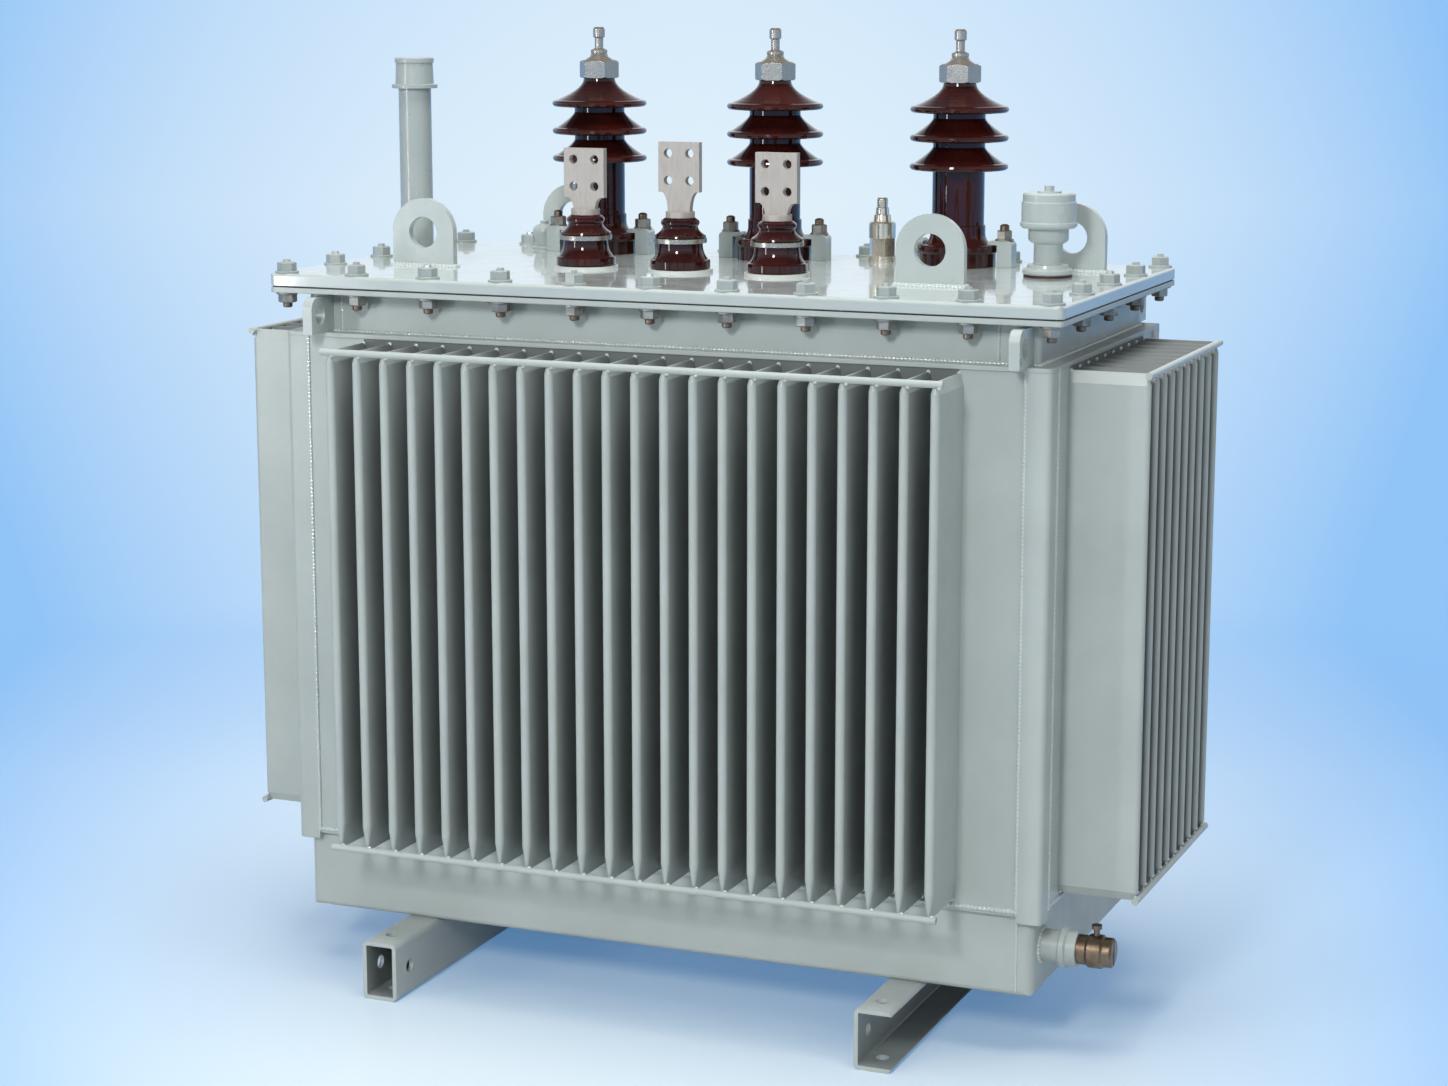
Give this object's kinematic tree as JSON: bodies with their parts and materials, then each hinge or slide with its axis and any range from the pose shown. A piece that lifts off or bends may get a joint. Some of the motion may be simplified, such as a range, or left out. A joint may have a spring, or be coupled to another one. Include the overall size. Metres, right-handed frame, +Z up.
{
  "type": "oil-immersed transformer",
  "caption": "Oil-immersed power transformer with a corrugated cooling tank on skid rails, tall shed bushings, flag bushings, lifting lugs and a drain valve.",
  "frame": {"origin": "on the floor, midway between the skid rails and midway along the tank", "axes": "+X along the tank towards the drain valve, +Y from the low-voltage front to the high-voltage rear, +Z up"},
  "size_m": [1.269, 0.746, 1.273],
  "materials": {
    "tank_paint": "satin pale grey-green paint",
    "porcelain": "glossy dark brown glaze",
    "tinned_metal": "tinned, satin",
    "brass": "turned brass",
    "zinc_plate": "zinc plated, satin",
    "gasket": "matte black",
    "red_gasket": "matte dark red",
    "pale_ring": "pale pressed washer"
  },
  "bodies": {
    "root": {"left_skid_rail": "tank_paint", "right_skid_rail": "tank_paint", "bottom_trough": "tank_paint", "front_corrugated_wall": "tank_paint", "rear_corrugated_wall": "tank_paint", "left_corrugated_wall": "tank_paint", "right_corrugated_wall": "tank_paint", "corner_posts": "tank_paint", "front_fin_rods": "tank_paint", "rear_fin_rods": "tank_paint", "left_fin_rods": "tank_paint", "right_fin_rods": "tank_paint", "tank_collar": "tank_paint", "tank_flange": "tank_paint", "cover_gasket": "gasket", "cover_plate": "tank_paint", "front_left_lifting_lug": "tank_paint", "front_right_lifting_lug": "tank_paint", "rear_left_lifting_lug": "tank_paint", "rear_right_lifting_lug": "tank_paint", "lashing_eyes": "tank_paint", "hv_porcelain_left": "porcelain", "hv_porcelain_middle": "porcelain", "hv_porcelain_right": "porcelain", "hv_terminal_left": "tinned_metal", "hv_terminal_middle": "tinned_metal", "hv_terminal_right": "tinned_metal", "hv_clamps": "zinc_plate", "lv_base_rings": "pale_ring", "lv_porcelain_left": "porcelain", "lv_porcelain_middle": "porcelain", "lv_porcelain_right": "porcelain", "lv_rings": "zinc_plate", "lv_flag_left": "tinned_metal", "lv_flag_middle": "tinned_metal", "lv_flag_right": "tinned_metal", "filler_pipe": "tank_paint", "filler_cap": "tank_paint", "tap_changer_gasket": "red_gasket", "tap_changer_body": "tank_paint", "tap_changer_cap": "tank_paint", "relief_valve": "brass", "thermometer_pocket": "tank_paint", "drain_stub": "tank_paint", "drain_valve": "brass"}
  },
  "joints": []
}
